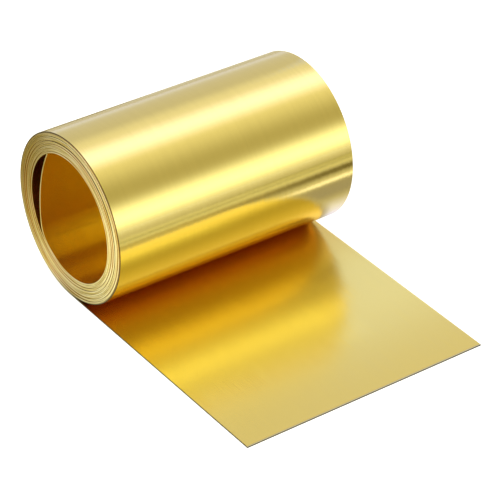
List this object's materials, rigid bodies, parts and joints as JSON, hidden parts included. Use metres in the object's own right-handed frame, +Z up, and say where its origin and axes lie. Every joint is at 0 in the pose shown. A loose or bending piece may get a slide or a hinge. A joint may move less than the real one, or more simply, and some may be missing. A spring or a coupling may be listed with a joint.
{
  "type": "roll of brass sheet",
  "caption": "Thin brass strip wound into an open-bored coil that lies on its side, with its outer end run out flat in front and its inner end loose in the bore.",
  "frame": {"origin": "on the floor, half way across the strip and half way between the tail's end and the back of the coil", "axes": "+X across the strip, along the coil's axis; -Y the way the flat tail points; +Z up from the floor the tail lies on"},
  "size_m": [0.1002, 0.1374, 0.064],
  "materials": {
    "brass": "bright cold-rolled brass, satin along the rolling direction"
  },
  "bodies": {
    "root": {"brass_sheet": "brass"}
  },
  "joints": []
}
